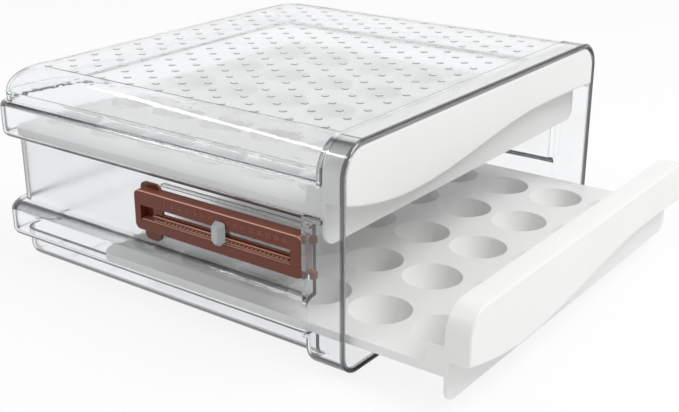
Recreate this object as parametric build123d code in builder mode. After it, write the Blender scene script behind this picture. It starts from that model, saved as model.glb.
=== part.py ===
from build123d import *
from math import cos, radians, sin
import os

# Two-layer egg drawer organizer. Millimetres.
# X is the width, Y runs from the open front (-Y) to the back (+Y), Z is up.
# The origin is at the centre of the underside of the base.

# Clear case
case_width = 318.0
case_depth = 296.0
case_height = 140.0
wall = 2.0
collar_depth = 18.5
collar_low_depth = 29.0
collar_top_radius = 20.0
collar_bottom_radius = 14.0
collar_step_radius = 5.0
rim_bead_wall = 3.0
rim_bead_depth = 3.0
rim_edge_radius = 1.2
bulge_inset = 0.1
waist_inset = 9.5
waist_back_inset = 6.0
case_corner_radius = 12.0
foot_side_inset = 12.0
foot_back_inset = 3.0
foot_edge_radius = 9.0

# Heights of the case wall
ledge_height = 21.5
layer_pitch = 72.0
lower_bulge_height = 25.5
lower_shoulder_height = 7.5
upper_shoulder_height = 4.0
bulge_edge_radius = 5.0
rim_upright = 4.0

# Top cover
lid_height = 19.0
lid_inset = 3.5
lid_shoulder_width = 20.0
lid_shoulder_height = 18.0
shoulder_angles = (0, 24, 46, 66, 81, 90)
lid_opening_lip = 0.5
lid_front_gap = 0.2
lid_seat_gap = 0.1
tongue_length = 5.0
tongue_wall = 1.4
tongue_gap = 0.3

# Drawer trays
tray_side_gap = 3.1
tray_back_gap = 9.9
tray_wall = 2.0
tray_corner_radius = 10.0
rail_gap = 0.3
lip_height = 5.5
lower_drawer_travel = 80.0

# Egg cups
cups_across = 5
cups_deep = 6
cup_radius = 19.5
cup_foot_radius = 11.0
cup_drain_radius = 7.5
cup_depth = 19.0
cup_wall = 1.2
cup_front_margin = 4.0
cup_back_margin = 2.3
cup_side_margin = 18.3

# Drawer front plate and its side wings, heights from the ledge
plate_wall = 2.0
plate_gap = 0.2
skirt_side_inset = 0.5
skirt_bottom = -15.0
skirt_top = 11.2
skirt_corner_radius = 8.0
wing_length = 8.0
wing_step_length = 9.0
wing_rise = 13.0

# Clip-on cover of a drawer front, heights from the ledge
cover_side_gap = 1.5
cover_top_gap = 1.5
cover_seam_gap = 0.3
cover_corner_radius = 17.0
cover_wall = 2.2
cover_depth = 15.7
cover_face_setback = 0.5
cover_edge_radius = 1.5
wave_roll_height = 2.5
wave_roll_depth = 3.0
wave_left_drop = 31.5
wave_belly_drop = 42.0
wave_raised_drop = 27.5
wave_right_drop = 29.5
wave_end_radius = 2.0
wave_left_slope = -0.29
wave_right_slope = -0.06
wave_belly_place = 67.5
wave_raised_place = 80.5

# Date scale frame
scale_length = 134.0
scale_height = 26.5
scale_front_gap = 0.3
scale_depth = 9.0
scale_face_wall = 3.0
scale_wall = 2.0
scale_seat_gap = 0.1
scale_corner_radius = 4.0
scale_edge_radius = 0.8
groove_length = 120.0
groove_height = 10.0
groove_depth = 1.4
groove_front_margin = 8.5
groove_bottom_margin = 7.0
slot_length = 102.0
slot_height = 3.4
rail_rise = 4.2
rail_height = 0.9
window_length = 10.0
window_height = 8.0
window_depth = 6.0
window_wall = 1.5
ear_wall = 2.0
ear_radius = 4.0
upper_ear_length = 17.0
upper_ear_reach = 3.0
upper_ear_overhang = 0.7
lower_ear_length = 14.0
lower_ear_reach = 9.0
lower_ear_setback = 1.3
tab_length = 5.3
tab_wall = 3.5
tab_height = 4.5
tab_gap = 0.3
peg_radius = 1.8
peg_gap = 0.05
peg_end_margin = 9.3
peg_spread = 16.5
rib_height = 1.5
rib_reach = 3.0
rib_drop = 6.5
rib_end_margin = 18.3

# Date scale slider
pointer_place = 61.7
pointer_width = 9.0
pointer_rise = 6.2
pointer_side_drop = 5.8
pointer_tip_drop = 9.8
pointer_shoulder = 1.5
pointer_wall = 4.8
pointer_slope = 24
pointer_edge_radius = 0.3
pointer_gap = 0.3
stem_length = 5.0
retainer_length = 8.0
retainer_height = 9.0
retainer_wall = 1.4

# Places worked out from the sizes above
front_y = -case_depth / 2
back_y = case_depth / 2
half_width = case_width / 2
collar_rear_y = front_y + collar_depth
collar_low_rear_y = front_y + collar_low_depth
bead_rear_y = front_y + rim_bead_depth
lower_floor = ledge_height - wall
upper_floor = lower_floor + layer_pitch
lower_bulge_top = lower_floor + lower_bulge_height
rim_height = case_height - lid_height
upper_bulge_height = rim_height - rim_upright - upper_floor
waist_x = half_width - waist_inset
lid_front_y = collar_rear_y + lid_front_gap

# Sizes of the drawers that follow from the case
tray_width = case_width - 2 * (bulge_inset + wall + tray_side_gap)
cover_width = case_width - 2 * (wall + cover_side_gap)
cover_top = case_height - wall - cover_top_gap - ledge_height - layer_pitch
cover_return_bottom = skirt_top + cover_seam_gap
plate_width = cover_width - 2 * (cover_wall + plate_gap)
plate_top = cover_top - cover_wall - plate_gap
plate_corner_radius = cover_corner_radius - cover_wall - plate_gap
skirt_width = cover_width - 2 * skirt_side_inset
cover_face_y = front_y + cover_face_setback
plate_back_y = cover_face_y + cover_depth
tray_back_y = back_y - bulge_inset - wall - tray_back_gap
first_cup_y = plate_back_y + cup_front_margin + cup_radius
last_cup_y = tray_back_y - cup_back_margin - cup_radius
cup_pitch_x = (tray_width - 2 * (cup_side_margin + cup_radius)) / (cups_across - 1)
cup_pitch_y = (last_cup_y - first_cup_y) / (cups_deep - 1)

# Places of the date scale, between the two bands of the case
scale_front_y = collar_low_rear_y + scale_front_gap
scale_rear_y = scale_front_y + scale_length
scale_middle_y = (scale_front_y + scale_rear_y) / 2
scale_middle_z = (lower_bulge_top + upper_floor) / 2
scale_bottom_z = scale_middle_z - scale_height / 2
scale_top_z = scale_middle_z + scale_height / 2
scale_back_x = -(waist_x + scale_seat_gap)
scale_face_x = scale_back_x - scale_depth
groove_front_y = scale_front_y + groove_front_margin
groove_bottom_z = scale_bottom_z + groove_bottom_margin
slot_z = groove_bottom_z + groove_height - slot_height / 2
slot_middle_y = groove_front_y + slot_length / 2
peg_y = scale_rear_y - peg_end_margin
rib_back_y = scale_rear_y - rib_end_margin
pointer_y = scale_front_y + pointer_place
ahead = 10.0


def plan_outline(side_inset, back_inset, radius, front, height):
    """Plan of the case at one height, square at the front and rounded at the back."""
    depth = back_y - back_inset - front
    with BuildSketch(Plane.XY.offset(height)) as outline:
        with Locations((0, front + depth / 2)):
            Rectangle(case_width - 2 * side_inset, depth)
        fillet(outline.vertices().group_by(Axis.Y)[-1], radius)
    return outline.sketch


def side_and_back_edges(part, level):
    """Outer edges at the lowest (0) or highest (-1) level, without the front one."""
    edges = part.edges().group_by(Axis.Z)[level]
    front = part.edges().group_by(Axis.Y)[0][0].center().Y
    return edges.filter_by(lambda edge: edge.center().Y > front + 1)


def foot_block(inset, front):
    """Foot of the case, set in by one wall for its hollow."""
    top = lower_floor + wall
    base = plan_outline(foot_side_inset + inset, foot_back_inset + inset,
                        case_corner_radius - inset, front, inset)
    with BuildPart() as foot:
        extrude(base, amount=top - inset)
        fillet(side_and_back_edges(foot, 0), foot_edge_radius - inset)
    return foot.part


def waist_block(inset, front):
    """Recessed wall between the two drawer rails."""
    base = plan_outline(waist_inset + inset, waist_back_inset + inset,
                        case_corner_radius - inset, front, lower_floor + wall)
    with BuildPart() as waist:
        extrude(base, amount=layer_pitch)
    return waist.part


def shoulder_block(start, end, rise, radius, front, low):
    """Rounded shoulder between two pairs of side and back insets, from one height up."""
    sections = []
    for angle in shoulder_angles:
        share = 1 - cos(radians(angle))
        side, back = [first + (last - first) * share for first, last in zip(start, end)]
        sections.append(plan_outline(side, back, radius, front, low + rise * sin(radians(angle))))
    with BuildPart() as shoulder:
        loft(sections)
    return shoulder.part


def rail_block(inset, front, floor, height, shoulder_height, end):
    """Outward band whose floor carries a drawer and whose shoulder rounds over inwards."""
    radius = case_corner_radius - inset
    edge = bulge_inset + inset
    top = (end[0] + inset, end[1] + inset)
    shoulder_low = floor + height - shoulder_height
    base = plan_outline(edge, edge, radius, front, floor + inset)
    shoulder = shoulder_block((edge, edge), top, shoulder_height - inset, radius, front,
                              shoulder_low)
    with BuildPart() as rail:
        extrude(base, amount=shoulder_low - floor - inset)
        fillet(side_and_back_edges(rail, 0), bulge_edge_radius - inset)
        add(shoulder)
    return rail.part


def rim_block(inset, front):
    """Upright rim under the top cover."""
    low = rim_height - rim_upright - upper_shoulder_height - inset
    base = plan_outline(lid_inset + inset, lid_inset + inset,
                        case_corner_radius - inset, front, low)
    with BuildPart() as rim:
        extrude(base, amount=rim_height - low)
    return rim.part


def frame_block(inset, front, rear, low, top):
    """Front frame of the case between two depths and two heights."""
    with BuildPart() as frame:
        with BuildSketch(Plane.XZ.offset(-front)) as outline:
            with Locations((0, case_height / 2)):
                Rectangle(case_width - 2 * inset, case_height - 2 * inset)
            fillet(outline.vertices().group_by(Axis.Y)[-1], collar_top_radius - inset)
            fillet(outline.vertices().group_by(Axis.Y)[0], collar_bottom_radius - inset)
            with Locations((0, low)):
                Rectangle(case_width, top - low, mode=Mode.INTERSECT,
                          align=(Align.CENTER, Align.MIN))
        extrude(amount=front - rear)
    return frame.part


def step_block(inset, front, top):
    """Foot of the front frame, with its rear edges rounded down from the lower band."""
    rear = collar_low_rear_y - inset
    block = frame_block(inset, front, rear, 0, top)
    with BuildPart() as step:
        add(block)
        rear_edges = step.edges().group_by(Axis.Y)[-1]
        fillet(rear_edges.filter_by(lambda edge: edge.center().Z < top - inset / 2),
               collar_step_radius - inset)
    return step.part


def shell_blocks(inset, front):
    """All the blocks behind the front frame, outside or as their hollows."""
    return [
        foot_block(inset, front),
        waist_block(inset, front),
        rail_block(inset, front, lower_floor, lower_bulge_height, lower_shoulder_height,
                   (waist_inset, waist_back_inset)),
        rail_block(inset, front, upper_floor, upper_bulge_height, upper_shoulder_height,
                   (lid_inset, lid_inset)),
        rim_block(inset, front),
    ]


def lid_block(inset, front, low):
    """Rounded block of the top cover, set in by one wall for its hollow."""
    shoulder_low = case_height - lid_shoulder_height
    radius = case_corner_radius - inset
    edge = lid_inset + inset
    top = lid_inset + lid_shoulder_width
    base = plan_outline(edge, edge, radius, front, low)
    shoulder = shoulder_block((edge, edge), (top, top), lid_shoulder_height - inset, radius,
                              front, shoulder_low)
    with BuildPart() as lid:
        extrude(base, amount=shoulder_low - low)
        add(shoulder)
    return lid.part


def side_plane(x):
    """Upright plane facing -X whose first axis runs forward and second axis up."""
    return Plane(origin=(x, 0, 0), x_dir=(0, -1, 0), z_dir=(-1, 0, 0))


def scale_tabs(gap, y, length):
    """Two tabs of the date scale about one depth, or their holes with a gap."""
    x = -(waist_x + scale_seat_gap + tab_gap + tab_wall / 2)
    spread = scale_height - tab_height
    with BuildPart() as tabs:
        for z in (scale_middle_z - spread / 2, scale_middle_z + spread / 2):
            with Locations((x, y, z)):
                Box(tab_wall + 2 * gap, length, tab_height + 2 * gap)
    return tabs.part


def scale_pegs(gap, overrun):
    """Two pegs at the rear end of the date scale, or their holes with a gap."""
    length = scale_depth - groove_depth + scale_seat_gap + wall + overrun
    with BuildPart() as pegs:
        with BuildSketch(side_plane(scale_face_x + groove_depth)):
            with Locations((-peg_y, scale_middle_z)):
                with GridLocations(1, peg_spread, 1, 2):
                    Circle(peg_radius + gap)
        extrude(amount=-length)
    return pegs.part


# Clear case
outer_blocks = shell_blocks(0, collar_rear_y - wall) + [
    frame_block(0, front_y, collar_rear_y, 0, case_height),
    frame_block(0, front_y, collar_low_rear_y, lower_floor, upper_floor + bulge_edge_radius),
    step_block(0, front_y, lower_floor + wall),
]
inner_blocks = shell_blocks(wall, bead_rear_y) + [
    frame_block(rim_bead_wall, front_y - ahead, bead_rear_y + wall, 0, case_height),
    frame_block(wall, bead_rear_y, collar_rear_y - wall, 0, case_height),
    frame_block(wall, bead_rear_y, collar_low_rear_y - wall, lower_floor + wall, upper_floor),
    step_block(wall, bead_rear_y, lower_floor + 2 * wall),
    lid_block(wall + lid_opening_lip, collar_rear_y - 2 * wall, rim_height - rim_upright),
]
waist_hollow = waist_block(wall, bead_rear_y)
tab_holes = scale_tabs(tab_gap, collar_low_rear_y - wall / 2, 2 * wall)
peg_holes = scale_pegs(peg_gap, 1)

with BuildPart() as case_body:
    for solid in outer_blocks:
        add(solid)
    for hollow in inner_blocks:
        add(hollow, mode=Mode.SUBTRACT)
    with Locations((-waist_x, rib_back_y, upper_floor - rib_drop)):
        Box(2 * rib_reach, rib_back_y - collar_low_rear_y + wall / 2, rib_height,
            align=(Align.CENTER, Align.MAX, Align.MIN))
    for hollow in (waist_hollow, tab_holes, peg_holes):
        add(hollow, mode=Mode.SUBTRACT)
    fillet(case_body.edges().group_by(Axis.Y)[0], rim_edge_radius)
case_body.part.label = "case_body"

# Top cover
lid_base = rim_height + lid_seat_gap
lid_solid = lid_block(0, lid_front_y, lid_base)
lid_room = lid_block(wall, lid_front_y - ahead, lid_base - ahead)
tongue_inset = lid_inset + wall + tongue_gap
tongue_outline = plan_outline(tongue_inset, tongue_inset, case_corner_radius - wall - tongue_gap,
                              lid_front_y, rim_height - tongue_length)
tongue_room = plan_outline(tongue_inset + tongue_wall, tongue_inset + tongue_wall,
                           case_corner_radius - wall - tongue_gap - tongue_wall,
                           lid_front_y - ahead, rim_height - tongue_length)

tongue_height = tongue_length + lid_seat_gap + wall
foot_inset = lid_inset + wall / 2
lid_foot = plan_outline(foot_inset, foot_inset, case_corner_radius - wall / 2, lid_front_y, lid_base)

with BuildPart() as top_cover:
    add(lid_solid)
    add(lid_room, mode=Mode.SUBTRACT)
    extrude(tongue_outline, amount=tongue_height)
    extrude(lid_foot, amount=wall)
    extrude(tongue_room, amount=tongue_height, mode=Mode.SUBTRACT)
top_cover.part.label = "top_cover"


def tray_outline(inset, front, height):
    """Plan of a tray with rounded back corners."""
    depth = tray_back_y - inset - front
    with BuildSketch(Plane.XY.offset(height)) as outline:
        with Locations((0, front + depth / 2)):
            Rectangle(tray_width - 2 * inset, depth)
        fillet(outline.vertices().group_by(Axis.Y)[-1], tray_corner_radius - inset)
    return outline.sketch


def wing(side):
    """Raised end of the tray lip beside the front plate, on one side."""
    high = plate_back_y + wing_length
    low = high + wing_step_length
    deck = rail_gap + lip_height
    top = deck + wing_rise
    with BuildPart() as piece:
        with BuildSketch(Plane.YZ.offset(side * tray_width / 2)):
            with BuildLine():
                Polyline((low, deck), (low, rail_gap), (plate_back_y, rail_gap),
                         (plate_back_y, top), (high, top))
                Spline((high, top), (low, deck), tangents=((1, 0), (1, 0)))
            make_face()
        extrude(amount=-side * tray_wall)
    return piece.part


def front_plate():
    """Plate and skirt across the front of a tray."""
    with BuildPart() as plate:
        with BuildSketch(Plane.XZ.offset(-plate_back_y)) as upper:
            Rectangle(plate_width, plate_top, align=(Align.CENTER, Align.MIN))
            fillet(upper.vertices().group_by(Axis.Y)[-1], plate_corner_radius)
        extrude(amount=plate_wall)
        with BuildSketch(Plane.XZ.offset(-plate_back_y)) as lower:
            with Locations((0, skirt_bottom)):
                Rectangle(skirt_width, skirt_top - skirt_bottom,
                          align=(Align.CENTER, Align.MIN))
            fillet(lower.vertices().group_by(Axis.Y)[0], skirt_corner_radius)
        extrude(amount=plate_wall)
    return plate.part


def tray_part():
    """Whole drawer tray, heights from the ledge that carries it."""
    deck = rail_gap + lip_height
    front = plate_back_y - plate_wall / 2
    cups_y = (first_cup_y + last_cup_y) / 2
    rim = tray_outline(0, front, rail_gap)
    room = tray_outline(tray_wall, front, rail_gap)
    pieces = [wing(-1), wing(1), front_plate()]
    hang = (Align.CENTER, Align.CENTER, Align.MAX)
    with BuildPart() as tray:
        extrude(rim, amount=lip_height)
        extrude(room, amount=lip_height - tray_wall, mode=Mode.SUBTRACT)
        for piece in pieces:
            add(piece)
        with Locations((0, cups_y, deck)):
            with GridLocations(cup_pitch_x, cup_pitch_y, cups_across, cups_deep):
                Cone(cup_foot_radius + cup_wall, cup_radius + cup_wall, cup_depth, align=hang)
            with GridLocations(cup_pitch_x, cup_pitch_y, cups_across, cups_deep):
                Cone(cup_foot_radius, cup_radius, cup_depth - cup_wall, align=hang,
                     mode=Mode.SUBTRACT)
            with GridLocations(cup_pitch_x, cup_pitch_y, cups_across, cups_deep):
                Cylinder(cup_drain_radius, cup_depth + 1, align=hang, mode=Mode.SUBTRACT)
    return tray.part


def cover_sketch(y, inset, lift):
    """Front outline of a drawer cover with its wavy lower edge, at one depth."""
    half = cover_width / 2 - inset
    top = cover_top - inset
    left = cover_top - wave_left_drop + lift
    right = cover_top - wave_right_drop + lift
    belly_x = wave_belly_place - cover_width / 2
    raised_x = cover_width / 2 - wave_raised_place
    with BuildSketch(Plane.XZ.offset(-y)) as outline:
        with BuildLine():
            Spline(
                (-half, left),
                (belly_x, cover_top - wave_belly_drop + lift),
                (raised_x, cover_top - wave_raised_drop + lift),
                (half, right),
                tangents=((1, wave_left_slope), (1, 0), (1, 0), (1, wave_right_slope)),
            )
            Polyline((half, right), (half, top), (-half, top), (-half, left))
        make_face()
        fillet(outline.vertices().sort_by(Axis.Y)[:2], wave_end_radius)
        fillet(outline.vertices().group_by(Axis.Y)[-1], cover_corner_radius - inset)
    return outline.sketch


def cover_part():
    """Whole front cover, heights from the ledge below its drawer."""
    hollow_y = cover_face_y + cover_wall
    face = cover_sketch(cover_face_y, 0, 0)
    roll_face = cover_sketch(hollow_y, 0, 0)
    above_roll = cover_sketch(hollow_y, 0, wave_roll_height)
    with BuildPart() as returns:
        for inset in (0, cover_wall):
            with BuildSketch(Plane.XZ.offset(-hollow_y)) as outline:
                with Locations((0, cover_return_bottom - inset)):
                    Rectangle(cover_width - 2 * inset, cover_top - cover_return_bottom,
                              align=(Align.CENTER, Align.MIN))
                fillet(outline.vertices().group_by(Axis.Y)[-1], cover_corner_radius - inset)
            extrude(amount=cover_wall - cover_depth,
                    mode=Mode.SUBTRACT if inset else Mode.ADD)
    with BuildPart() as roll:
        extrude(roll_face, amount=-wave_roll_depth)
        extrude(above_roll, amount=-wave_roll_depth, mode=Mode.SUBTRACT)
    with BuildPart() as cover:
        extrude(face, amount=-cover_wall)
        fillet(cover.edges().group_by(Axis.Y)[0], cover_edge_radius)
        add(returns.part)
        add(roll.part)
    return cover.part


# Drawers
tray = tray_part()
cover = cover_part()
lower_place = Location((0, -lower_drawer_travel, ledge_height))
upper_place = Location((0, 0, ledge_height + layer_pitch))

with BuildPart() as upper_tray:
    with Locations(upper_place):
        add(tray)
upper_tray.part.label = "upper_tray"

with BuildPart() as upper_front_cover:
    with Locations(upper_place):
        add(cover)
upper_front_cover.part.label = "upper_front_cover"

with BuildPart() as lower_tray:
    with Locations(lower_place):
        add(tray)
lower_tray.part.label = "lower_tray"

with BuildPart() as lower_front_cover:
    with Locations(lower_place):
        add(cover)
lower_front_cover.part.label = "lower_front_cover"

# Date scale frame
window_y = groove_front_y + groove_length - window_length / 2
window_z = groove_bottom_z + groove_height / 2
upper_ear_y = scale_rear_y + upper_ear_overhang - upper_ear_length / 2
lower_ear_y = scale_rear_y - lower_ear_setback - lower_ear_length / 2
tabs = scale_tabs(0, scale_front_y + (scale_wall - tab_length) / 2, tab_length + scale_wall)
pegs = scale_pegs(0, 0)

with BuildPart() as date_scale_frame:
    with BuildSketch(side_plane(scale_back_x)):
        with Locations((-scale_middle_y, scale_middle_z)):
            RectangleRounded(scale_length, scale_height, scale_corner_radius)
    extrude(amount=scale_depth)
    fillet(date_scale_frame.edges().group_by(Axis.X)[0], scale_edge_radius)
    with BuildSketch(side_plane(scale_back_x)):
        with Locations((-scale_middle_y, scale_middle_z)):
            RectangleRounded(scale_length - 2 * scale_wall, scale_height - 2 * scale_wall,
                             scale_corner_radius - scale_wall)
    extrude(amount=scale_depth - scale_face_wall, mode=Mode.SUBTRACT)
    with Locations((scale_face_x + groove_depth, window_y, window_z)):
        Box(window_depth + window_wall - groove_depth, window_length + 2 * window_wall,
            window_height + 2 * window_wall, align=(Align.MIN, Align.CENTER, Align.CENTER))
    with Locations((scale_face_x, groove_front_y, groove_bottom_z)):
        Box(groove_depth, groove_length, groove_height, mode=Mode.SUBTRACT,
            align=(Align.MIN, Align.MIN, Align.MIN))
    with Locations((scale_face_x, groove_front_y, groove_bottom_z + rail_rise)):
        Box(groove_depth, groove_length, rail_height,
            align=(Align.MIN, Align.MIN, Align.CENTER))
    with Locations((scale_face_x, window_y, window_z)):
        Box(window_depth, window_length, window_height, mode=Mode.SUBTRACT,
            align=(Align.MIN, Align.CENTER, Align.CENTER))
    with Locations((scale_face_x, slot_middle_y, slot_z)):
        Box(2 * scale_face_wall, slot_length, slot_height, mode=Mode.SUBTRACT)
    with BuildSketch(side_plane(scale_back_x)):
        with Locations((-upper_ear_y, scale_top_z + upper_ear_reach)):
            RectangleRounded(upper_ear_length, upper_ear_reach + 2 * ear_radius, ear_radius,
                             align=(Align.CENTER, Align.MAX))
        with Locations((-lower_ear_y, scale_bottom_z - lower_ear_reach)):
            RectangleRounded(lower_ear_length, lower_ear_reach + 2 * ear_radius, ear_radius,
                             align=(Align.CENTER, Align.MIN))
    extrude(amount=ear_wall)
    add(tabs)
    add(pegs)
date_scale_frame.part.label = "date_scale_frame"

# Date scale slider
pointer_back_x = scale_face_x - pointer_gap
retainer_x = scale_face_x + scale_face_wall + pointer_gap
pointer_left = -pointer_y - pointer_width / 2
pointer_right = -pointer_y + pointer_width / 2
pointer_top_z = slot_z + pointer_rise
pointer_side_z = slot_z - pointer_side_drop

with BuildPart() as date_scale_slider:
    with BuildSketch(side_plane(pointer_back_x)):
        with BuildLine():
            Polyline(
                (pointer_left, pointer_side_z),
                (-pointer_y, slot_z - pointer_tip_drop),
                (pointer_right, pointer_side_z),
                (pointer_right, pointer_top_z - pointer_shoulder),
                (pointer_right - pointer_shoulder, pointer_top_z),
                (pointer_left + pointer_shoulder, pointer_top_z),
                (pointer_left, pointer_top_z - pointer_shoulder),
                close=True,
            )
        make_face()
    extrude(amount=pointer_wall, taper=pointer_slope)
    fillet(date_scale_slider.edges().group_by(Axis.X)[0], pointer_edge_radius)
    with Locations((pointer_back_x, pointer_y, slot_z)):
        Box(retainer_x - pointer_back_x, stem_length, slot_height - 2 * pointer_gap,
            align=(Align.MIN, Align.CENTER, Align.CENTER))
    with Locations((retainer_x, pointer_y, slot_z)):
        Box(retainer_wall, retainer_length, retainer_height,
            align=(Align.MIN, Align.CENTER, Align.CENTER))
date_scale_slider.part.label = "date_scale_slider"

os.makedirs("parts", exist_ok=True)
export_step(case_body.part, "parts/case_body.step")
export_step(top_cover.part, "parts/top_cover.step")
export_step(upper_tray.part, "parts/upper_tray.step")
export_step(upper_front_cover.part, "parts/upper_front_cover.step")
export_step(lower_tray.part, "parts/lower_tray.step")
export_step(lower_front_cover.part, "parts/lower_front_cover.step")
export_step(date_scale_frame.part, "parts/date_scale_frame.step")
export_step(date_scale_slider.part, "parts/date_scale_slider.step")
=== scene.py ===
import math

import bmesh
import bpy
from mathutils import Matrix, Vector


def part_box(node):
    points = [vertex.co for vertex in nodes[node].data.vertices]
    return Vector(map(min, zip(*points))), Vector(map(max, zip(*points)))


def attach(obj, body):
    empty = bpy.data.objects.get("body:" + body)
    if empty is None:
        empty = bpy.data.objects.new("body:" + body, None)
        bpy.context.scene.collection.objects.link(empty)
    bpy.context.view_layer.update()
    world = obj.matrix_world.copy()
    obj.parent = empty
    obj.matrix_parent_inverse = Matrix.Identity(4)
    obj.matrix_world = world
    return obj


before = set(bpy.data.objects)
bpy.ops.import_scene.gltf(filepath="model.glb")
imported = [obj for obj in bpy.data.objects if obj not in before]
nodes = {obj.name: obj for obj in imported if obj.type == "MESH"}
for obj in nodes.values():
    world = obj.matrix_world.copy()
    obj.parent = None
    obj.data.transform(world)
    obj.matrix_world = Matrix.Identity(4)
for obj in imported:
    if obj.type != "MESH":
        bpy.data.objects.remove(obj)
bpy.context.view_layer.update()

case_low, case_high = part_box("case_body")
scale_low, scale_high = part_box("date_scale_frame")
roof_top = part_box("top_cover")[1].z


# Camera and studio, in metres and degrees

camera_place = (-0.60822, -0.47644, 0.32366)
camera_tilt = 21.236
camera_turn = 53.62
camera_lens = 59.06
camera_sensor = 36.0

studio_light = 0.49
floor_half = 6.0
floor_drop = 0.0006
floor_albedo = 0.95
floor_glow = 0.86
lamp_aim = (0.0, 0.0, 0.07)


# Places on the case, in metres

wall = 0.002
rim_start = case_low.y + 0.0030
rim_full = case_low.y + 0.0018
side_start = case_high.x - 0.031
side_full = case_high.x - 0.014
waist_bottom = 0.045
waist_bottom_full = 0.050
waist_top_full = 0.087
waist_top = 0.0915
waist_front = case_low.y + 0.028
waist_front_full = case_low.y + 0.036


# Places on the date scale, in metres

scale_face = scale_low.x
day_pitch = 0.00317
first_day_y = scale_high.y - 0.028
numbers_z = scale_low.z + 0.0306
ticks_x = scale_face + 0.0008
ticks_z = scale_low.z + 0.0193
slot_lip_x = scale_face + 0.0003
groove_floor_x = scale_face + 0.0013
groove_front_y = scale_low.y + 0.014
slot_back_y = scale_high.y - 0.018
groove_back_y = scale_high.y - 0.007


# Finishes of the clear plastic

clear_color = (0.985, 0.99, 0.995, 1.0)
clear_tint = (0.955, 0.965, 0.975, 1.0)
# Painted shade: a nearly black transmission colour for glancing rounded edges and for the case's front
# rim.
painted_shade_color = (0.012, 0.014, 0.016, 1.0)
absorbed_color = (0.70, 0.76, 0.80, 1.0)
plastic_ior = 1.49
rim_painted_shade = 0.88
satin_roughness = 0.17


def set_camera():
    data = bpy.data.cameras.new("camera")
    data.sensor_width = camera_sensor
    data.sensor_fit = "HORIZONTAL"
    data.lens = camera_lens
    data.clip_start = 0.01
    data.clip_end = 50.0
    camera = bpy.data.objects.new("camera", data)
    camera.location = camera_place
    camera.rotation_euler = (math.radians(90.0 - camera_tilt), 0.0, math.radians(-camera_turn))
    bpy.context.scene.collection.objects.link(camera)
    bpy.context.scene.camera = camera


# Node helpers

def new_material(name):
    material = bpy.data.materials.new(name)
    material.use_nodes = True
    tree = material.node_tree
    tree.nodes.clear()
    output = tree.nodes.new("ShaderNodeOutputMaterial")
    shader = tree.nodes.new("ShaderNodeBsdfPrincipled")
    tree.links.new(shader.outputs["BSDF"], output.inputs["Surface"])
    return material, tree, shader, output


def group_socket(group, name, direction, kind, value=None, low=None, high=None):
    socket = group.interface.new_socket(name=name, in_out=direction, socket_type=kind)
    if value is not None:
        socket.default_value = value
    if low is not None:
        socket.min_value = low
    if high is not None:
        socket.max_value = high
    return socket


def math_node(tree, operation, first, second=None, clamp=False):
    node = tree.nodes.new("ShaderNodeMath")
    node.operation = operation
    node.use_clamp = clamp
    for place, value in enumerate((first, second)):
        if value is None:
            continue
        if isinstance(value, (int, float)):
            node.inputs[place].default_value = value
        else:
            tree.links.new(value, node.inputs[place])
    return node.outputs[0]


def map_range(tree, value, low, high, smooth=True):
    """0 at low and 1 at high, with a smooth or a straight way between them."""
    node = tree.nodes.new("ShaderNodeMapRange")
    if smooth:
        node.interpolation_type = "SMOOTHSTEP"
    tree.links.new(value, node.inputs["Value"])
    node.inputs["From Min"].default_value = low
    node.inputs["From Max"].default_value = high
    return node.outputs["Result"]


def noise(tree, vector, scale, detail, roughness=0.5, distortion=0.0):
    node = tree.nodes.new("ShaderNodeTexNoise")
    node.inputs["Detail"].default_value = detail
    node.inputs["Roughness"].default_value = roughness
    node.inputs["Distortion"].default_value = distortion
    tree.links.new(vector, node.inputs["Vector"])
    if isinstance(scale, float):
        node.inputs["Scale"].default_value = scale
    else:
        tree.links.new(scale, node.inputs["Scale"])
    return node.outputs["Fac"]


def colour_mix(tree, factor, first, second):
    node = tree.nodes.new("ShaderNodeMix")
    node.data_type = "RGBA"
    tree.links.new(factor, node.inputs["Factor"])
    for place, value in (("A", first), ("B", second)):
        socket = [item for item in node.inputs if item.name == place and item.type == "RGBA"][0]
        if isinstance(value, tuple):
            socket.default_value = value
        else:
            tree.links.new(value, socket)
    return [item for item in node.outputs if item.type == "RGBA"][0]


def object_place(tree):
    place = tree.nodes.new("ShaderNodeTexCoord")
    parts = tree.nodes.new("ShaderNodeSeparateXYZ")
    tree.links.new(place.outputs["Object"], parts.inputs["Vector"])
    return parts.outputs


# Finishes

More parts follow.
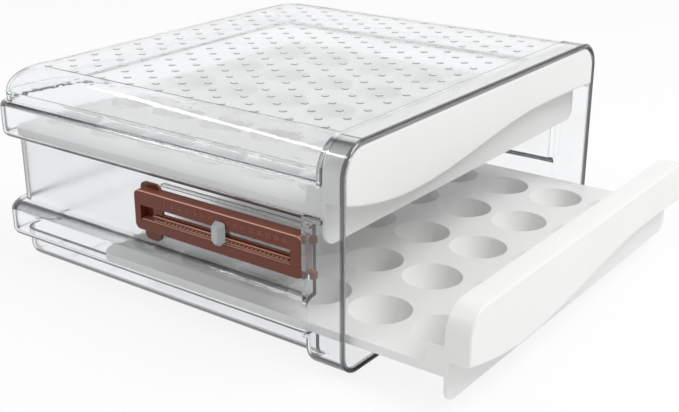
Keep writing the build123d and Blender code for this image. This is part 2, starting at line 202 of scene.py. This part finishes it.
def moulded_finish_group():
    """Flow marks, fine grain and hairline scuffs of injection-moulded plastic."""
    group = bpy.data.node_groups.new("moulded_finish", "ShaderNodeTree")
    group_socket(group, "Color", "INPUT", "NodeSocketColor", (0.8, 0.8, 0.8, 1.0))
    group_socket(group, "Tint", "INPUT", "NodeSocketColor", (0.75, 0.75, 0.75, 1.0))
    group_socket(group, "Roughness", "INPUT", "NodeSocketFloat", 0.35, 0.0, 1.0)
    group_socket(group, "Grain Size", "INPUT", "NodeSocketFloat", 900.0, 1.0, 5000.0)
    group_socket(group, "Grain Depth", "INPUT", "NodeSocketFloat", 0.04, 0.0, 1.0)
    group_socket(group, "Scuffs", "INPUT", "NodeSocketFloat", 0.3, 0.0, 1.0)
    group_socket(group, "Edge Wear", "INPUT", "NodeSocketFloat", 0.2, 0.0, 1.0)
    group_socket(group, "Color", "OUTPUT", "NodeSocketColor")
    group_socket(group, "Roughness", "OUTPUT", "NodeSocketFloat")
    group_socket(group, "Normal", "OUTPUT", "NodeSocketVector")
    start = group.nodes.new("NodeGroupInput")
    end = group.nodes.new("NodeGroupOutput")
    place = group.nodes.new("ShaderNodeTexCoord").outputs["Object"]

    flow = noise(group, place, 9.0, detail=4.0, roughness=0.55, distortion=0.6)
    grain = noise(group, place, start.outputs["Grain Size"], detail=2.0)

    stretch = group.nodes.new("ShaderNodeMapping")
    stretch.inputs["Rotation"].default_value = (0.4, 0.9, 0.7)
    stretch.inputs["Scale"].default_value = (900.0, 900.0, 18.0)
    group.links.new(place, stretch.inputs["Vector"])
    scratches = noise(group, stretch.outputs["Vector"], 1.0, detail=1.0)
    lines = map_range(group, scratches, 0.70, 0.78, smooth=False)
    patches = map_range(group, flow, 0.50, 0.68, smooth=False)
    scuff = math_node(group, "MULTIPLY", lines, patches)
    scuff = math_node(group, "MULTIPLY", scuff, start.outputs["Scuffs"])

    form = group.nodes.new("ShaderNodeNewGeometry")
    edge = map_range(group, form.outputs["Pointiness"], 0.52, 0.60, smooth=False)
    wear = math_node(group, "MULTIPLY", edge, start.outputs["Edge Wear"])

    marks = math_node(group, "SUBTRACT", flow, 0.35, clamp=True)
    marks = math_node(group, "ADD", marks, scuff, clamp=True)
    marks = math_node(group, "ADD", marks, wear, clamp=True)
    blend = colour_mix(group, marks, start.outputs["Color"], start.outputs["Tint"])
    group.links.new(blend, end.inputs["Color"])

    rough = math_node(group, "MULTIPLY", flow, 0.12)
    rough = math_node(group, "ADD", rough, start.outputs["Roughness"])
    rough = math_node(group, "ADD", rough, math_node(group, "MULTIPLY", scuff, 0.5))
    rough = math_node(group, "SUBTRACT", rough, 0.06, clamp=True)
    group.links.new(rough, end.inputs["Roughness"])

    height = math_node(group, "SUBTRACT", grain, math_node(group, "MULTIPLY", scuff, 0.6))
    bump = group.nodes.new("ShaderNodeBump")
    bump.inputs["Distance"].default_value = 0.0002
    group.links.new(start.outputs["Grain Depth"], bump.inputs["Strength"])
    group.links.new(height, bump.inputs["Height"])
    group.links.new(bump.outputs["Normal"], end.inputs["Normal"])
    return group


def rounded_edges_group():
    """1 on a moulding's rounded edges, 0 on its flat walls; the edges that face up; and its flat tops."""
    group = bpy.data.node_groups.new("rounded_edges", "ShaderNodeTree")
    group_socket(group, "Start", "INPUT", "NodeSocketFloat", 0.005, 0.0, 1.0)
    group_socket(group, "Full", "INPUT", "NodeSocketFloat", 0.07, 0.0, 1.0)
    group_socket(group, "Edges", "OUTPUT", "NodeSocketFloat")
    group_socket(group, "Upper Edges", "OUTPUT", "NodeSocketFloat")
    group_socket(group, "Flat Tops", "OUTPUT", "NodeSocketFloat")
    start = group.nodes.new("NodeGroupInput")
    end = group.nodes.new("NodeGroupOutput")
    place = group.nodes.new("ShaderNodeTexCoord")
    parts = group.nodes.new("ShaderNodeSeparateXYZ")
    group.links.new(place.outputs["Normal"], parts.inputs["Vector"])
    sizes = [math_node(group, "ABSOLUTE", parts.outputs[axis]) for axis in "XYZ"]
    largest = math_node(group, "MAXIMUM", math_node(group, "MAXIMUM", sizes[0], sizes[1]), sizes[2])
    slant = math_node(group, "SUBTRACT", 1.0, largest)
    edges = map_range(group, slant, 0.0, 1.0)
    group.links.new(start.outputs["Start"], edges.node.inputs["From Min"])
    group.links.new(start.outputs["Full"], edges.node.inputs["From Max"])
    group.links.new(edges, end.inputs["Edges"])
    upper = map_range(group, parts.outputs["Z"], 0.15, 0.5)
    group.links.new(math_node(group, "MULTIPLY", edges, upper), end.inputs["Upper Edges"])
    group.links.new(map_range(group, parts.outputs["Z"], 0.90, 0.98), end.inputs["Flat Tops"])
    return group


def opaque_plastic(name, finish, color, tint, roughness, grain_depth, scuffs, wear, specular=0.5,
                   edges=None, painted_edge_highlight=None, painted_top_light=None):
    """Moulded plastic, with a painted highlight on its upper edges and painted light on its flat tops
    where their colours are given.
    """
    material, tree, shader, _ = new_material(name)
    look = tree.nodes.new("ShaderNodeGroup")
    look.node_tree = finish
    look.inputs["Color"].default_value = color + (1.0,)
    look.inputs["Tint"].default_value = tint + (1.0,)
    look.inputs["Roughness"].default_value = roughness
    look.inputs["Grain Depth"].default_value = grain_depth
    look.inputs["Scuffs"].default_value = scuffs
    look.inputs["Edge Wear"].default_value = wear
    tone = look.outputs["Color"]
    # Painted light: upward-facing rounded edges and flat tops take paler colours that stand in for
    # highlights and light falling on them.
    if painted_edge_highlight is not None:
        rounded = tree.nodes.new("ShaderNodeGroup")
        rounded.node_tree = edges
        if painted_top_light is not None:
            tone = colour_mix(tree, rounded.outputs["Flat Tops"], tone, painted_top_light + (1.0,))
        tone = colour_mix(tree, rounded.outputs["Upper Edges"], tone, painted_edge_highlight + (1.0,))
    tree.links.new(tone, shader.inputs["Base Color"])
    tree.links.new(look.outputs["Roughness"], shader.inputs["Roughness"])
    tree.links.new(look.outputs["Normal"], shader.inputs["Normal"])
    shader.inputs["Specular IOR Level"].default_value = specular
    return material


def rim_mask(tree):
    """1 on the rim at the front of the case, where shade is painted."""
    return map_range(tree, object_place(tree)["Y"], rim_start, rim_full)


def waist_mask(tree):
    """1 on the wall between the case's two bands, behind its collar."""
    place = object_place(tree)
    above = map_range(tree, place["Z"], waist_bottom, waist_bottom_full)
    below = map_range(tree, place["Z"], waist_top, waist_top_full)
    behind = map_range(tree, place["Y"], waist_front, waist_front_full)
    return math_node(tree, "MULTIPLY", math_node(tree, "MULTIPLY", above, below), behind)


def clear_plastic(name, finish, edges, density, roughness, glance_low, glance_high, of_case=False):
    """Polished clear moulding with painted shade: its rounded side edges go dark where they are seen at a
    glance.

    The case's has painted shade on its front rim too, and a satin wall between its bands."""
    material, tree, shader, output = new_material(name)
    look = tree.nodes.new("ShaderNodeGroup")
    look.node_tree = finish
    look.inputs["Color"].default_value = clear_color
    look.inputs["Tint"].default_value = clear_tint
    look.inputs["Roughness"].default_value = roughness
    look.inputs["Grain Size"].default_value = 30.0
    look.inputs["Grain Depth"].default_value = 0.002
    look.inputs["Scuffs"].default_value = 0.12
    look.inputs["Edge Wear"].default_value = 0.0
    rounded = tree.nodes.new("ShaderNodeGroup")
    rounded.node_tree = edges
    # Painted shade: rounded side edges seen at a glance take the nearly black colour.
    glance = tree.nodes.new("ShaderNodeLayerWeight")
    glance.inputs["Blend"].default_value = 0.5
    glancing = map_range(tree, glance.outputs["Facing"], glance_low, glance_high)
    side = map_range(tree, math_node(tree, "ABSOLUTE", object_place(tree)["X"]), side_start, side_full)
    shown = math_node(tree, "MULTIPLY", side, glancing)
    dark = math_node(tree, "MULTIPLY", rounded.outputs["Edges"], shown)
    rough = look.outputs["Roughness"]
    if of_case:
        # Painted shade on the case's front rim.
        rim = math_node(tree, "MULTIPLY", rim_mask(tree), rim_painted_shade)
        dark = math_node(tree, "MAXIMUM", dark, rim)
        satin = math_node(tree, "MULTIPLY", waist_mask(tree), satin_roughness)
        rough = math_node(tree, "ADD", rough, satin)
    tone = colour_mix(tree, dark, look.outputs["Color"], painted_shade_color)
    tree.links.new(tone, shader.inputs["Base Color"])
    tree.links.new(rough, shader.inputs["Roughness"])
    tree.links.new(look.outputs["Normal"], shader.inputs["Normal"])
    shader.inputs["Transmission Weight"].default_value = 1.0
    shader.inputs["IOR"].default_value = plastic_ior
    haze = tree.nodes.new("ShaderNodeVolumeAbsorption")
    haze.inputs["Color"].default_value = absorbed_color
    haze.inputs["Density"].default_value = density
    tree.links.new(haze.outputs["Volume"], output.inputs["Volume"])
    return material


def dress(node, material):
    node.data.materials.clear()
    node.data.materials.append(material)


# Repeated details

def nodes_tree(name, sizes):
    """A Geometry Nodes tree with named sizes, a material input and one geometry output."""
    tree = bpy.data.node_groups.new(name, "GeometryNodeTree")
    for size_name, value in sizes.items():
        kind = "NodeSocketInt" if isinstance(value, int) else "NodeSocketFloat"
        tree.interface.new_socket(name=size_name, in_out="INPUT", socket_type=kind).default_value = value
    tree.interface.new_socket(name="Finish", in_out="INPUT", socket_type="NodeSocketMaterial")
    tree.interface.new_socket(name="Geometry", in_out="OUTPUT", socket_type="NodeSocketGeometry")
    return tree, tree.nodes.new("NodeGroupInput").outputs


def close_tree(tree, sizes, shape):
    """Real faces from the instances, in the finish asked for."""
    real = tree.nodes.new("GeometryNodeRealizeInstances")
    finish = tree.nodes.new("GeometryNodeSetMaterial")
    end = tree.nodes.new("NodeGroupOutput")
    tree.links.new(shape, real.inputs["Geometry"])
    tree.links.new(real.outputs["Geometry"], finish.inputs["Geometry"])
    tree.links.new(sizes["Finish"], finish.inputs["Material"])
    tree.links.new(finish.outputs["Geometry"], end.inputs["Geometry"])


def vector_of(tree, x=0.0, y=0.0, z=0.0):
    node = tree.nodes.new("ShaderNodeCombineXYZ")
    for socket, value in zip(node.inputs, (x, y, z)):
        if isinstance(value, float):
            socket.default_value = value
        else:
            tree.links.new(value, socket)
    return node.outputs[0]


def node_with(tree, kind, **links):
    """A node whose inputs are linked or set by their names, with spaces written as underscores."""
    node = tree.nodes.new(kind)
    for name, value in links.items():
        socket = node.inputs[name.replace("_", " ")]
        if isinstance(value, bpy.types.NodeSocket):
            tree.links.new(value, socket)
        else:
            socket.default_value = value
    return node


def roof_dots_tree():
    """Low lens-shaped dots in two staggered lattices, on the underside of the roof."""
    tree, sizes = nodes_tree("roof_dots", {
        "Columns": 14, "Rows": 10, "Pitch X": 0.0205, "Pitch Y": 0.026,
        "Radius": 0.0026, "Flatness": 0.14, "Middle Y": 0.0, "Height": roof_top - wall})
    lattices = tree.nodes.new("GeometryNodeJoinGeometry")
    for fewer in (0.0, 1.0):
        columns = math_node(tree, "SUBTRACT", sizes["Columns"], fewer)
        rows = math_node(tree, "SUBTRACT", sizes["Rows"], fewer)
        width = math_node(tree, "MULTIPLY", math_node(tree, "SUBTRACT", columns, 1.0), sizes["Pitch X"])
        depth = math_node(tree, "MULTIPLY", math_node(tree, "SUBTRACT", rows, 1.0), sizes["Pitch Y"])
        grid = node_with(tree, "GeometryNodeMeshGrid", Size_X=width, Size_Y=depth,
                         Vertices_X=columns, Vertices_Y=rows)
        tree.links.new(grid.outputs["Mesh"], lattices.inputs["Geometry"])
    lens = node_with(tree, "GeometryNodeMeshUVSphere", Segments=10, Rings=6, Radius=sizes["Radius"])
    flat = node_with(tree, "GeometryNodeTransform", Geometry=lens.outputs["Mesh"],
                     Scale=vector_of(tree, 1.0, 1.0, sizes["Flatness"]))
    smooth = node_with(tree, "GeometryNodeSetShadeSmooth", Geometry=flat.outputs["Geometry"])
    dots = node_with(tree, "GeometryNodeInstanceOnPoints", Points=lattices.outputs["Geometry"],
                     Instance=smooth.outputs["Geometry"])
    placed = node_with(tree, "GeometryNodeTransform", Geometry=dots.outputs["Instances"],
                       Translation=vector_of(tree, 0.0, sizes["Middle Y"], sizes["Height"]))
    close_tree(tree, sizes, placed.outputs["Geometry"])
    return tree


def day_ticks_tree():
    """Slanted ribs, one for each day, along the date scale's groove."""
    tree, sizes = nodes_tree("day_ticks", {
        "Days": 31, "Pitch": day_pitch, "Tick Length": 0.0028, "Tick Width": 0.0013, "Tick Rise": 0.0012,
        "Slant": 0.7, "Place X": ticks_x, "First Y": first_day_y, "Middle Z": ticks_z})
    step = vector_of(tree, 0.0, math_node(tree, "MULTIPLY", sizes["Pitch"], -1.0), 0.0)
    line = node_with(tree, "GeometryNodeMeshLine", Count=sizes["Days"], Offset=step)
    size = vector_of(tree, sizes["Tick Rise"], sizes["Tick Width"], sizes["Tick Length"])
    rib = node_with(tree, "GeometryNodeMeshCube", Size=size)
    ribs = node_with(tree, "GeometryNodeInstanceOnPoints", Points=line.outputs["Mesh"],
                     Instance=rib.outputs["Mesh"], Rotation=vector_of(tree, sizes["Slant"], 0.0, 0.0))
    placed = node_with(tree, "GeometryNodeTransform", Geometry=ribs.outputs["Instances"],
                       Translation=vector_of(tree, sizes["Place X"], sizes["First Y"], sizes["Middle Z"]))
    close_tree(tree, sizes, placed.outputs["Geometry"])
    return tree


def grown_piece(name, tree, finish, body):
    """The tree's result as a plain mesh that rides on one body."""
    piece = bpy.data.objects.new(name, bpy.data.meshes.new(name + "_start"))
    bpy.context.scene.collection.objects.link(piece)
    modifier = piece.modifiers.new("shape", "NODES")
    modifier.node_group = tree
    for item in tree.interface.items_tree:
        if item.name == "Finish":
            modifier[item.identifier] = finish
    ready = piece.evaluated_get(bpy.context.evaluated_depsgraph_get())
    mesh = bpy.data.meshes.new_from_object(ready)
    piece.modifiers.remove(modifier)
    piece.data = mesh
    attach(piece, body)


# Trim of the date scale

def trim_piece(name, shape, finish):
    """The finished shape as a piece of the date scale, which rides on the case."""
    mesh = bpy.data.meshes.new(name)
    shape.to_mesh(mesh)
    shape.free()
    mesh.materials.append(finish)
    piece = bpy.data.objects.new(name, mesh)
    bpy.context.scene.collection.objects.link(piece)
    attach(piece, "case")


def number_mesh(text, height, rise):
    """One raised number, centred on the origin, with its letters' height along Y."""
    capital_share = 0.72
    curve = bpy.data.curves.new("number", "FONT")
    curve.body = text
    curve.size = height / capital_share
    curve.extrude = rise / 2
    curve.resolution_u = 3
    curve.align_x = "CENTER"
    curve.align_y = "CENTER"
    holder = bpy.data.objects.new("number", curve)
    bpy.context.scene.collection.objects.link(holder)
    ready = holder.evaluated_get(bpy.context.evaluated_depsgraph_get())
    mesh = bpy.data.meshes.new_from_object(ready)
    bpy.data.objects.remove(holder)
    bpy.data.curves.remove(curve)
    return mesh


def scale_numbers(finish, days, height, rise):
    """Raised day numbers above the slot, read from the left side."""
    shape = bmesh.new()
    turn = Matrix(((0.0, 0.0, -1.0), (-1.0, 0.0, 0.0), (0.0, 1.0, 0.0)))
    for day in days:
        mesh = number_mesh(str(day), height, rise)
        centre = Vector((scale_face, first_day_y - day_pitch * (day - 1), numbers_z))
        mesh.transform(Matrix.Translation(centre) @ turn.to_4x4())
        shape.from_mesh(mesh)
        bpy.data.meshes.remove(mesh)
    bmesh.ops.remove_doubles(shape, verts=shape.verts, dist=0.00001)
    trim_piece("scale_numbers", shape, finish)


def groove_rail(name, finish, middle_z, back_x, end_y, rise, width=0.0008, steps=8):
    """A round-topped rail along the date scale's groove."""
    shape = bmesh.new()
    ends = []
    for y in (groove_front_y, end_y):
        ends.append([])
        for step in range(steps + 1):
            angle = math.pi * step / steps
            ends[-1].append(shape.verts.new((back_x - rise * math.sin(angle), y,
                                             middle_z + width / 2 * math.cos(angle))))
    first, last = ends
    for step in range(steps):
        crown = shape.faces.new((first[step], first[step + 1], last[step + 1], last[step]))
        crown.smooth = True
    shape.faces.new((first[0], last[0], last[steps], first[steps]))
    shape.faces.new(first)
    shape.faces.new(list(reversed(last)))
    bmesh.ops.recalc_face_normals(shape, faces=shape.faces)
    trim_piece(name, shape, finish)


# Studio

def seen_directly(tree):
    """1 for rays that look straight, by reflection or through clear plastic."""
    path = tree.nodes.new("ShaderNodeLightPath")
    seen = math_node(tree, "MAXIMUM", path.outputs["Is Camera Ray"], path.outputs["Is Glossy Ray"])
    return math_node(tree, "MAXIMUM", seen, path.outputs["Is Transmission Ray"])


def set_world():
    """Soft light all round, and plain white where it is seen directly."""
    world = bpy.data.worlds.new("studio")
    bpy.context.scene.world = world
    world.use_nodes = True
    tree = world.node_tree
    tree.nodes.clear()
    output = tree.nodes.new("ShaderNodeOutputWorld")
    mix = tree.nodes.new("ShaderNodeMixShader")
    tree.links.new(seen_directly(tree), mix.inputs[0])
    for place, strength in ((1, studio_light), (2, 1.0)):
        light = tree.nodes.new("ShaderNodeBackground")
        light.inputs["Color"].default_value = (1.0, 1.0, 1.0, 1.0)
        light.inputs["Strength"].default_value = strength
        tree.links.new(light.outputs[0], mix.inputs[place])
    tree.links.new(mix.outputs[0], output.inputs["Surface"])


def set_floor():
    """A matt pale floor just under the case, nearly white where it is seen directly."""
    mesh = bpy.data.meshes.new("floor")
    mesh.from_pydata([(-floor_half, -floor_half, -floor_drop), (floor_half, -floor_half, -floor_drop),
                      (floor_half, floor_half, -floor_drop), (-floor_half, floor_half, -floor_drop)],
                     [], [(0, 1, 2, 3)])
    floor = bpy.data.objects.new("floor", mesh)
    bpy.context.scene.collection.objects.link(floor)
    material = bpy.data.materials.new("pale_floor")
    material.use_nodes = True
    tree = material.node_tree
    tree.nodes.clear()
    output = tree.nodes.new("ShaderNodeOutputMaterial")
    matt = tree.nodes.new("ShaderNodeBsdfDiffuse")
    matt.inputs["Color"].default_value = (floor_albedo, floor_albedo, floor_albedo, 1.0)
    glow = tree.nodes.new("ShaderNodeEmission")
    glow.inputs["Color"].default_value = (1.0, 1.0, 1.0, 1.0)
    glow.inputs["Strength"].default_value = 1.0
    mix = tree.nodes.new("ShaderNodeMixShader")
    tree.links.new(math_node(tree, "MULTIPLY", seen_directly(tree), floor_glow), mix.inputs[0])
    tree.links.new(matt.outputs[0], mix.inputs[1])
    tree.links.new(glow.outputs[0], mix.inputs[2])
    tree.links.new(mix.outputs[0], output.inputs["Surface"])
    mesh.materials.append(material)


def softbox(name, place, size, power):
    """A rectangular lamp that looks at the middle of the case."""
    data = bpy.data.lights.new(name, "AREA")
    data.shape = "RECTANGLE"
    data.size, data.size_y = size
    data.energy = power
    light = bpy.data.objects.new(name, data)
    light.location = place
    direction = [a - p for a, p in zip(lamp_aim, place)]
    pitch = math.atan2(math.hypot(direction[0], direction[1]), -direction[2])
    light.rotation_euler = (pitch, 0.0, math.atan2(direction[1], direction[0]) - math.pi / 2)
    bpy.context.scene.collection.objects.link(light)


set_camera()
set_world()
set_floor()
softbox("front_softbox", place=(0.35, -1.1, 1.65), size=(1.4, 1.0), power=21.0)
softbox("rear_strip", place=(-0.54, 0.83, 1.2), size=(1.2, 0.08), power=4.5)
bpy.context.scene.view_settings.view_transform = "Standard"

finish = moulded_finish_group()
edges = rounded_edges_group()
clear_case = clear_plastic("clear_case", finish, edges, density=26.0, roughness=0.04,
                           glance_low=0.15, glance_high=0.42, of_case=True)
clear_lid = clear_plastic("clear_lid", finish, edges, density=20.0, roughness=0.04,
                          glance_low=0.58, glance_high=0.80)
clear_dots = clear_plastic("clear_dots", finish, edges, density=20.0, roughness=0.12,
                           glance_low=0.80, glance_high=1.0)
white = opaque_plastic("white_plastic", finish, color=(0.90, 0.90, 0.89), tint=(0.85, 0.85, 0.84),
                       roughness=0.34, grain_depth=0.05, scuffs=0.25, wear=0.15)
# The frame's upper edges get a painted salmon highlight and its flat tops painted light.
brown = opaque_plastic("brown_plastic", finish, color=(0.140, 0.026, 0.011), tint=(0.20, 0.048, 0.022),
                       roughness=0.24, grain_depth=0.06, scuffs=0.30, wear=0.0, specular=0.35,
                       edges=edges, painted_edge_highlight=(0.80, 0.45, 0.34), painted_top_light=(0.42, 0.125, 0.075))
brown_marks = opaque_plastic("brown_plastic_marks", finish, color=(0.34, 0.110, 0.062),
                             tint=(0.40, 0.15, 0.09), roughness=0.28, grain_depth=0.05,
                             scuffs=0.20, wear=0.0, specular=0.4)
# The rails' upper edges take a painted salmon highlight.
highlit_rail_brown = opaque_plastic("brown_plastic_highlit_rails", finish, color=(0.19, 0.048, 0.024),
                        tint=(0.30, 0.10, 0.06), roughness=0.22, grain_depth=0.05,
                        scuffs=0.20, wear=0.0, edges=edges, painted_edge_highlight=(0.85, 0.48, 0.36))
grey = opaque_plastic("grey_plastic", finish, color=(0.46, 0.49, 0.50), tint=(0.39, 0.42, 0.43),
                      roughness=0.30, grain_depth=0.05, scuffs=0.30, wear=0.20)

dress(nodes["case_body"], clear_case)
dress(nodes["top_cover"], clear_lid)
for name in ("upper_tray", "upper_front_cover", "lower_tray", "lower_front_cover"):
    dress(nodes[name], white)
dress(nodes["date_scale_frame"], brown)
dress(nodes["date_scale_slider"], grey)

grown_piece("roof_dots", roof_dots_tree(), clear_dots, "case")
grown_piece("day_ticks", day_ticks_tree(), brown_marks, "case")
scale_numbers(brown_marks, days=range(1, 32, 2), height=0.0026, rise=0.0006)
groove_rail("upper_rail", highlit_rail_brown, scale_low.z + 0.0208, slot_lip_x, slot_back_y, rise=0.0006)
groove_rail("middle_rail", highlit_rail_brown, scale_low.z + 0.0177, groove_floor_x, slot_back_y, rise=0.0012)
groove_rail("lower_rail", highlit_rail_brown, scale_low.z + 0.0164, groove_floor_x, groove_back_y, rise=0.0013)
